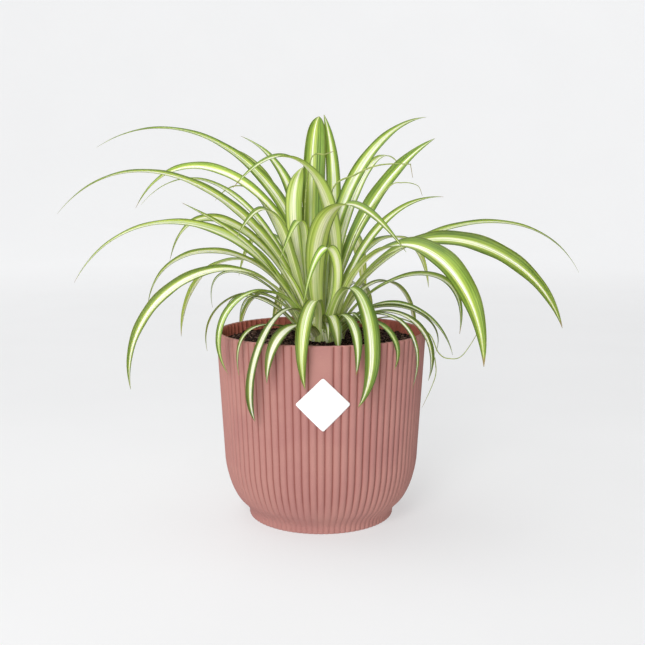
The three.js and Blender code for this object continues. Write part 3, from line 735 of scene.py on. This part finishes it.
def make_pot():
    angles, depths, panel = rib_angles()
    columns = len(angles)

    def ring(radius, z, rib_depth):
        panel_share = clamp((z - PANEL_BOTTOM + PANEL_FADE) / PANEL_FADE)
        depth = np.where(panel, depths * (1 - smooth(panel_share)), depths)
        points = circle(radius - depth * rib_depth, angles, z)
        return points, depth * min(1.0, rib_depth / RIB_HOLLOW)

    # Underside: the flat middle, the ring groove, the standing ring and the foot's rounded edge
    rows = [
        ring(BASE_RADIUS, 0, 0),
        ring(BASE_RADIUS + GROOVE_SLOPE, GROOVE_DEPTH, 0),
        ring(RING_INNER_RADIUS - GROOVE_SLOPE, GROOVE_DEPTH, 0),
        ring(RING_INNER_RADIUS, 0, 0),
        ring(FOOT_RADIUS - FOOT_EDGE, 0, 0.5),
        ring(FOOT_RADIUS - FOOT_EDGE / 4, 0.35, 0.7),
    ]
    for z in POT_ROW_HEIGHTS:
        hollow = mix(FOOT_RIB_HOLLOW, RIB_HOLLOW, clamp((z - FOOT_HEIGHT) / RIB_GROWTH))
        rows.append(ring(foot_radius(z), z, hollow))
    # Rounded lip
    for k in range(1, LIP_STEPS + 1):
        angle = math.radians(90 * k / LIP_STEPS)
        radius = RIM_RADIUS - LIP_ROUND * (1 - math.cos(angle))
        z = POT_HEIGHT - LIP_ROUND * (1 - math.sin(angle))
        rows.append(ring(radius, z, mix(RIB_HOLLOW, LIP_RIB_DEPTH, k / LIP_STEPS)))
    outer_rows = len(rows) + INNER_COLOUR_ROW
    for k in range(INNER_LIP_STEPS + 1):
        angle = math.radians(90 * k / INNER_LIP_STEPS)
        radius = RIM_RADIUS - WALL_THICKNESS + INNER_LIP_ROUND * (1 - math.sin(angle))
        z = POT_HEIGHT - INNER_LIP_ROUND * (1 - math.cos(angle))
        rows.append(ring(radius, z, INNER_RIB_DEPTH * (0.6 + 0.1 * k)))
    # Inner wall, with the ribs showing faintly through, and the floor
    for z in INNER_ROW_HEIGHTS:
        rows.append(ring(inner_radius(z), z, INNER_RIB_DEPTH))
    rows.append(ring(FLOOR_RADIUS - 1, FLOOR_TOP, 0))
    points, faces = turned([points for points, _ in rows])
    # How deep each point lies in a groove, which the pot's material darkens as painted shade
    groove = np.concatenate([depth for _, depth in rows] + [np.zeros(2)])
    inner = np.zeros(len(points))
    inner[outer_rows * columns:] = 1.0
    parts = Parts()
    parts.add(points, faces, groove=groove, inner=inner)
    return parts.make('pot_body', pot_material(), 'pot', 'pot')


# Label

LABEL_CELLS = 24
LABEL_CORNER = 1.6  # radius of its rounded corners
LABEL_EDGE_DROP = 0.12  # the edge of its face is a little lower, which rounds it


def make_label():
    """A thin square with rounded corners, turned on its corner and bent round the wall."""
    half = LABEL_SIDE / 2
    spots = np.linspace(-half, half, LABEL_CELLS + 1)
    points = []
    for lift in (0.0, LABEL_THICKNESS):
        for v in spots:
            for u in spots:
                # Pull the corners in to a round
                over_u = max(0, abs(u) - half + LABEL_CORNER)
                over_v = max(0, abs(v) - half + LABEL_CORNER)
                pull = max(1.0, math.hypot(over_u, over_v) / LABEL_CORNER)
                x = math.copysign(abs(u) - over_u + over_u / pull, u)
                y = math.copysign(abs(v) - over_v + over_v / pull, v)
                side, up = (x - y) * math.sqrt(0.5), (x + y) * math.sqrt(0.5)
                z = LABEL_CENTRE_HEIGHT + up
                on_edge = max(abs(u), abs(v)) > 0.999 * half
                drop = LABEL_EDGE_DROP if lift and on_edge else 0.0
                radius = wall_radius(z) + LABEL_GAP + lift - drop
                angle = (side + LABEL_ASIDE) / wall_radius(z) - TURN / 4
                points.append((radius * math.cos(angle), radius * math.sin(angle), z))
    count = len(spots)
    parts = Parts()
    parts.add(points, sheet_faces(count, count, outer=count ** 2, inner=0))
    return parts.make('label_sheet', paper_material(), 'label', 'label')


# Soil

SOIL_COLUMNS = 168
SOIL_ROWS = 44
SOIL_CENTRE = 0.4  # radius of the innermost ring of the top
CRUMBS = 2600
CRUMB_SIZES = (0.35, 1.9)  # the smallest, and how much larger they get
FIBRES = 90
FIBRE_LENGTHS = (3, 9)
FIBRE_MARGIN = 8  # they start this far inside the soil's edge
FIBRE_POINTS = 5
FIBRE_LIFT = 0.55
FIBRE_RADII = [0.18, 0.26, 0.26, 0.22, 0.1]
PHI = (1 + 5 ** 0.5) / 2
LUMP_POINTS = [
    (-1, PHI, 0), (1, PHI, 0), (-1, -PHI, 0), (1, -PHI, 0), (0, -1, PHI), (0, 1, PHI),
    (0, -1, -PHI), (0, 1, -PHI), (PHI, 0, -1), (PHI, 0, 1), (-PHI, 0, -1), (-PHI, 0, 1),
]
LUMP_FACES = [
    (0, 11, 5), (0, 5, 1), (0, 1, 7), (0, 7, 10), (0, 10, 11), (1, 5, 9), (5, 11, 4),
    (11, 10, 2), (10, 7, 6), (7, 1, 8), (3, 9, 4), (3, 4, 2), (3, 2, 6), (3, 6, 8),
    (3, 8, 9), (4, 9, 5), (2, 4, 11), (6, 2, 10), (8, 6, 7), (9, 8, 1),
]


def soil_height(x, y):
    waves = math.sin(x * 0.21 + 1) * math.cos(y * 0.17) + math.sin(x * 0.47 - y * 0.39) * 0.6
    return SOIL_LEVEL + SOIL_MOUND * (1 - math.hypot(x, y) / RIM_RADIUS) + SOIL_LUMP * waves


def rough_soil(x, y):
    """The soil's height with its clods and crumbs."""
    def bumps(scale, layer):
        return noise.noise(Vector((x * scale, y * scale, layer)))
    clods = 0.9 * bumps(0.16, 3.0) + 0.8 * bumps(0.42, 9.0)
    return soil_height(x, y) + clods - 1.2 * abs(bumps(1.0, 5.0))


def lump(rng, size):
    """A rough little clod, as points round its middle."""
    stretch = np.array([rng.uniform(0.7, 1.4), rng.uniform(0.7, 1.3), rng.uniform(0.45, 0.9)])
    points = [unit(np.array(p)) * rng.uniform(0.75, 1.2) for p in LUMP_POINTS]
    turn = rng.uniform(0, TURN)
    c, s = math.cos(turn), math.sin(turn)
    return np.array(points) * size * stretch @ np.array([[c, s, 0], [-s, c, 0], [0, 0, 1]])


def add_fibre(parts, rng, edge):
    radius, angle = (edge - FIBRE_MARGIN) * math.sqrt(rng.random()), rng.uniform(0, TURN)
    x, y, way = radius * math.cos(angle), radius * math.sin(angle), rng.uniform(0, TURN)
    length, bend = rng.uniform(*FIBRE_LENGTHS), rng.uniform(-0.6, 0.6)
    last = FIBRE_POINTS - 1
    path = []
    for k in range(FIBRE_POINTS):
        px, py = x + length * k / last * math.cos(way), y + length * k / last * math.sin(way)
        way += bend / last
        path.append((px, py, rough_soil(px, py) + FIBRE_LIFT))
    points, faces = thin_tube(np.array(path), FIBRE_RADII, 5)
    parts.add(points, faces, tone=rng.uniform(0.5, 1.0))


def make_soil():
    rng = random.Random(SEED)
    parts = Parts()
    edge = wall_radius(SOIL_LEVEL) - WALL_THICKNESS - SOIL_GAP
    below = [
        (FLOOR_RADIUS - 1.5, FLOOR_TOP + SOIL_GAP), (FLOOR_RADIUS, 9.5), (75, 25), (82.5, 60),
        (edge - 1, 140),
    ]
    angles = turns(SOIL_COLUMNS)
    rings = [circle(radius, angles, z) for radius, z in below]
    for k in range(SOIL_ROWS):
        radius = min(edge, edge * (1 - k / SOIL_ROWS) + SOIL_CENTRE)
        heights = [rough_soil(x, y) for x, y, _ in circle(radius, angles, 0)]
        rings.append(circle(radius, angles, heights))
    points, faces = turned(rings)
    parts.add(points, faces, tone=0.0)
    smallest, spread = CRUMB_SIZES
    for _ in range(CRUMBS):
        size = smallest + spread * rng.random() ** 4
        radius = (edge - size - 0.4) * math.sqrt(rng.random())
        angle = rng.uniform(0, TURN)
        x, y = radius * math.cos(angle), radius * math.sin(angle)
        points = lump(rng, size) + (x, y, rough_soil(x, y) + 0.15 * size)
        parts.add(points, LUMP_FACES, tone=clamp(rng.gauss(0.10, 0.35)))
    for _ in range(FIBRES):
        add_fibre(parts, rng, edge)
    return parts.make('soil_surface', soil_material(), 'soil', 'soil')


# Crown

CROWN_SIDES = 72
CORE_DEPTH = 1.6  # the stem's core lies this far below the crown's head
CORE_SEATS = (0, 8, 18, 30, 42, 54, 66, 76, 84, 89)
SHEATHS = 64
SHEATH_ROWS = 12
SHEATH_COLUMNS = 9
SHEATH_THICKNESS = 0.5
SHEATH_STEP = 137.5  # degrees from one sheath to the next
SHEATH_TOPS = (22, 86)  # seats where the lowest and the highest sheath end
SHEATH_HALF_WIDTHS = (2.6, 4.6)


def crown_point(seat, lift):
    """Distance from the axis and height of a place on the crown's head."""
    angle = math.radians(seat)
    across = CROWN_RADIUS * math.cos(angle) ** CROWN_POWER
    up = SOIL_LEVEL + CROWN_RISE * math.sin(angle) ** CROWN_POWER
    return across + lift * math.cos(angle), up + lift * math.sin(angle)


def add_sheath(parts, rng, index):
    azimuth = index * SHEATH_STEP + rng.uniform(-8, 8)
    top = mix(*SHEATH_TOPS, index / SHEATHS) + rng.uniform(-6, 6)
    half = rng.uniform(*SHEATH_HALF_WIDTHS)
    layer = -1.2 + 1.3 * rng.random()
    rise = rng.uniform(0.0, 5.0) if top < 70 else 0.0
    twist = rng.uniform(-14, 14)
    outer, across, along = [], [], []
    for row in range(SHEATH_ROWS):
        share = row / (SHEATH_ROWS - 1)
        seat = mix(0.5, min(top, 88), share)
        narrow = math.sqrt(max(0.0, 1 - max(0.0, share - 0.6) ** 2 / 0.17))
        for column in range(SHEATH_COLUMNS):
            u = 2 * column / (SHEATH_COLUMNS - 1) - 1
            radius, z = crown_point(seat, layer + 0.9 * (1 - u * u) + rise * smooth(share))
            swing = math.degrees(half * u * (0.12 + 0.88 * narrow) / max(6.0, radius))
            outer.append(polar(radius, azimuth + twist * share + swing, z - 1.5 * (1 - share)))
            across.append(u)
            along.append(0.07 + 0.10 * share)
    middle = np.array([0, 0, SOIL_LEVEL])
    inner = [point - SHEATH_THICKNESS * unit(point - middle) for point in outer]
    faces = sheet_faces(SHEATH_ROWS, SHEATH_COLUMNS, outer=0, inner=len(outer))
    parts.add(
        outer + inner, faces,
        across=across * 2,
        along=along * 2,
        reach=np.array(along * 2) * 200,
        upper=0.5,
        seed=rng.random(),
        tone=0.6 + 0.4 * rng.random(),
        stripe=rng.uniform(0.1, 0.5),
        dry=0.0,
    )


def make_crown(material):
    """A short stem wrapped in the pale, upright bases of the leaves."""
    angles = turns(CROWN_SIDES)
    spots = [(CROWN_BOTTOM_RADIUS - 1, HOLE_FLOOR + 0.4), (CROWN_BOTTOM_RADIUS, 124), (17, 145)]
    spots += [crown_point(seat, -CORE_DEPTH) for seat in CORE_SEATS]
    points, faces = turned([circle(radius, angles, z) for radius, z in spots])
    parts = Parts()
    parts.add(
        points, faces,
        across=0.9, along=0.12, reach=points[:, 2], upper=0.0, seed=0.3, tone=0.0,
        stripe=0.2, dry=0.0)
    rng = random.Random(SEED + 1)
    for index in range(SHEATHS):
        add_sheath(parts, rng, index)
    return parts.make('crown_sheaths', material, 'crown', 'crown')


# Thin dry strands between the leaves

STRAND_STEPS = 10
STRAND_SIDES = 7
# Points [x, y, z] that each strand passes, and its thickness
STRANDS = [
    ([[4, 6, 172], [8, 4, 230], [9.6, 4, 289], [30.6, 4, 303.7], [46.6, 4, 310.7],
      [60.3, 4, 312.8], [77, 4, 312.6], [78.5, 4, 311.6], [80.5, 4, 301]], 0.85),
    ([[8, 8, 174], [30, 4, 250], [58, 4, 291], [71.7, 4, 296.6], [84.9, 4, 294],
      [89.3, 4, 285.2]], 0.6),
    ([[-2, -6, 174], [-14, -3, 250], [-9.6, -2, 314], [4, -2, 321], [11.4, -2, 323.6]], 0.9),
    ([[16, 0, 166], [60, -14, 180], [92, -18, 168], [103, -20, 149], [112, -20, 144],
      [124, -20, 147], [138, -20, 170], [136, -20, 177]], 0.6),
    ([[99, -26, 146], [100, -27, 132], [95, -30, 118], [87, -38, 104]], 0.45),
]


def smooth_path(spots):
    """A smooth curve through the points."""
    padded = np.vstack([2 * spots[0] - spots[1], spots, 2 * spots[-1] - spots[-2]])
    path = []
    for k in range(1, len(padded) - 2):
        p, q, r, s = padded[k - 1:k + 3]
        for step in range(STRAND_STEPS):
            t = step / STRAND_STEPS
            square = (2 * p - 5 * q + 4 * r - s) * t ** 2
            cube = (3 * q - p - 3 * r + s) * t ** 3
            path.append(0.5 * (2 * q + (r - p) * t + square + cube))
    return np.array(path + [spots[-1]])


def make_strands():
    parts = Parts()
    for spots, thickness in STRANDS:
        path = smooth_path(np.array(spots, float))
        shares = np.linspace(0, 1, len(path))
        points, faces = thin_tube(path, thickness * (1 - 0.75 * shares ** 2), STRAND_SIDES)
        parts.add(points, faces, along=np.repeat(shares, STRAND_SIDES).tolist() + [0.0, 1.0])
    return parts.make('dry_strands', strand_material(), 'leaf')


# Leaves

BLADE_STEPS = 52
SHEATH_SHARE = 0.24  # how much wider a blade is at its base
SHEATH_END = 0.34
BLADE_THICK_ROOT = 0.85
BLADE_THICK_TIP = 0.4
CHANNEL_POWER = 1.25
RIPPLE = 0.022  # of the edges, as a share of the width
RIPPLE_LENGTHS = (30, 48)
BURIED_STEPS = [-0.05, -0.02]  # steps before the root, inside the crown
BURIED_REACH = 100
STRIPE_WIDTHS = (0.28, 0.48)
STRIPE_LEANS = (-0.12, 0.12)
SIDES = [1.0, 0.95, 0.76, 0.52, 0.26, 0.0, -0.26, -0.52, -0.76, -0.95, -1.0]
UNDER_SIDES = SIDES[-2:0:-1]
DEEP_BELOW = 42  # leaves that leave the crown at a lower angle than this are darker, painted shade for hanging under the others
DEEP_RANGE = 16

# How wide the cream stripe is, as a share of the half width, how far it lies off the middle,
# and how dark the green beside it is, partly own colour and partly painted shade. Other leaves draw
# theirs at random.
STRIPES = {
    'leaf_back_tall': (0.2, -0.24, 0.3),
    'leaf_back_tall_right': (0.3, 0.05, 0.15),
    'leaf_right_droop': (0.24, 0.04, 0.3),
    'leaf_right_big': (0.24, 0.0, 0.28),
    'leaf_right_up': (0.28, 0.0, 0.2),
    'leaf_right_up_broad': (0.24, 0.05, 0.3),
    'leaf_front_hang': (0.4, 0.0, 0.6),
    'leaf_front_right_hang': (0.32, 0.0, 0.6),
    'leaf_front_left_arch': (0.4, -0.1, 0.2),
    'leaf_back_left_up': (0.2, 0.1, 0.4),
}


def leaf_width(width, t, form):
    root = min(LEAF_ROOT_WIDTH, LEAF_ROOT_SHARE * width)
    broadest = form.get('broadest', LEAF_BROADEST)
    if t < broadest:
        return mix(root, width, smooth(max(0.0, t) / broadest))
    past = (t - broadest) / (1 - broadest)
    return mix(width, LEAF_TIP_WIDTH, past ** form.get('taper', LEAF_TAPER))


def blade_width(width, t, form):
    """The solid's width, and more at the base, where the blade wraps round its neighbours."""
    wrap = SHEATH_SHARE * width * (1 - smooth(min(1.0, t / SHEATH_END)))
    return leaf_width(width, t, form) + wrap


def leaf_roll(roll, t, form):
    base = form.get('base')
    if base is None:
        return roll * smooth(min(1.0, 2 * t))
    if t < LEAF_TWIST_START:
        return base * smooth(t / LEAF_TWIST_START)
    share = min(1.0, (t - LEAF_TWIST_START) / (LEAF_TWIST_END - LEAF_TWIST_START))
    return mix(base, roll, smooth(share))


def bezier(points, t):
    p, q, r, s = points
    u = 1 - t
    place = u ** 3 * p + 3 * u * u * t * q + 3 * u * t * t * r + t ** 3 * s
    slope = 3 * (u * u * (q - p) + 2 * u * t * (r - q) + t * t * (s - r))
    return place, unit(slope)


def through(p, q, r, s):
    """Control points of the cubic that passes q and r at a third and two thirds."""
    return p, (-5 * p + 18 * q - 9 * r + 2 * s) / 6, (2 * p - 9 * q + 18 * r - 5 * s) / 6, s


def blade_rise(side, fold, ripple, phases):
    """How far a place across the blade lies over its middle: a channel with rippled edges."""
    wave = math.sin(phases[0] if side > 0 else phases[1])
    return fold * abs(side) ** CHANNEL_POWER + ripple * wave * abs(side) ** 3


def add_blade(parts, row, root=None):
    """One leaf. It starts on the crown's head, or at root where that is given."""
    name, facing, turn, seat, third, two_thirds, tip, width, roll = row[:9]
    form = row[9] if len(row) > 9 else {}
    rng = random.Random(name + str(SEED))
    # Low leaves get painted shade as a darker green
    low = clamp((DEEP_BELOW - seat) / DEEP_RANGE)
    drawn = (
        rng.uniform(*STRIPE_WIDTHS), rng.uniform(*STRIPE_LEANS), low * rng.uniform(0.5, 1.0))
    stripe, lean, deep = STRIPES.get(name, drawn)
    if root is None:
        from_axis, height = crown_point(seat, LEAF_ROOT_GAP)
        root = polar(from_axis, facing, height)
    places = [
        polar(spot[0], spot[2] if len(spot) > 2 else facing + turn * k / 3, spot[1])
        for k, spot in enumerate((third, two_thirds, tip), 1)]
    curve = through(root, *places)
    inward = -polar(math.cos(math.radians(seat)), facing, math.sin(math.radians(seat)))
    steps = BURIED_STEPS + [k / BLADE_STEPS for k in range(BLADE_STEPS + 1)]
    wave_starts = np.array([rng.uniform(0, TURN), rng.uniform(0, TURN)])
    wave_length = rng.uniform(*RIPPLE_LENGTHS)
    rng.random()  # not used, but it keeps the later draws as they are
    rows, reach, last = [], [], None
    for t in steps:
        inside = max(0.0, t)
        centre, ahead = bezier(curve, inside)
        if t < 0:
            centre = centre + unit(inward - ahead) * (-t) * BURIED_REACH
        length = 0.0 if last is None else reach[-1] + float(np.linalg.norm(centre - last))
        last = centre
        reach.append(length)
        across = polar(1, form.get('heading', facing + turn * inside) + 90, 0)
        across = unit(across - across.dot(ahead) * ahead)
        angle = math.radians(leaf_roll(roll, inside, form))
        across = across * math.cos(angle) + np.cross(ahead, across) * math.sin(angle)
        out = np.cross(ahead, across)
        wide = blade_width(width, inside, form)
        fold = wide * mix(LEAF_FOLD_ROOT, LEAF_FOLD_TIP, inside)
        ripple = RIPPLE * wide * min(1.0, inside * 4)
        phases = length / wave_length * TURN + wave_starts
        thick = mix(BLADE_THICK_ROOT, BLADE_THICK_TIP, inside) * min(1.0, 0.15 + wide / 4)
        ring = []
        for k, side in enumerate(SIDES + UNDER_SIDES):
            rise = blade_rise(side, fold, ripple, phases)
            if k >= len(SIDES):
                rise -= thick * (1 - 0.8 * side * side)
            ring.append(centre + across * (side * wide / 2) + out * rise)
        rows.append(np.array(ring))
    points, faces = turned(rows)
    columns = len(rows[0])
    is_upper = [1.0] * len(SIDES) + [0.0] * len(UNDER_SIDES)
    parts.add(
        points, faces,
        across=(SIDES + UNDER_SIDES) * len(steps) + [0.0, 0.0],
        upper=is_upper * len(steps) + [0.5, 0.5],
        along=np.repeat([max(0.0, t) for t in steps], columns).tolist() + [0.0, 1.0],
        reach=np.repeat(reach, columns).tolist() + [0.0, reach[-1]],
        seed=rng.random(),
        tone=rng.random(),
        stripe=stripe,
        lean=lean,
        deep=deep,
        dry=1.0 if rng.random() < 0.5 else 0.15,
    )


def make_leaves(material):
    for row in LEAVES:
        parts = Parts()
        add_blade(parts, row)
        parts.make(row[0].replace('leaf_', 'blade_'), material, 'leaf', row[0])


KNOB_SIDES = 24
KNOB_ROWS = 14


def make_offset(material):
    """A young plant in front of the crown: four small leaves out of one pale base."""
    parts = Parts()
    reach, height = crown_point(OFFSET_SEAT, KNOB_RADIUS + LEAF_ROOT_GAP)
    middle = polar(reach, OFFSET_FACING, height)
    angles = turns(KNOB_SIDES)
    rings = []
    for k in range(1, KNOB_ROWS):
        up = math.pi * (k / KNOB_ROWS - 0.5)
        pinch = 1 + 0.08 * np.sin(angles * 5 + k * 0.5)
        radii = KNOB_RADIUS * 0.97 * math.cos(up) * pinch
        rings.append(circle(radii, angles, KNOB_RADIUS * math.sin(up)) + middle)
    points, faces = turned(rings)
    parts.add(
        points, faces,
        across=0.3, along=0.02, reach=points[:, 2] - 150, upper=0.4, seed=0.6, tone=0.5,
        stripe=0.5, lean=0.0, deep=0.2, dry=0.0)
    for row in OFFSET_LEAVES:
        add_blade(parts, row, middle)
    parts.make('offset_leaves', material, 'leaf', 'offset_front')


add_camera()
add_floor()
for light in LIGHTS:
    add_light(*light)
add_room()
leaf = leaf_material()
make_pot()
make_label()
make_soil()
make_crown(leaf)
make_leaves(leaf)
make_offset(leaf)
make_strands()
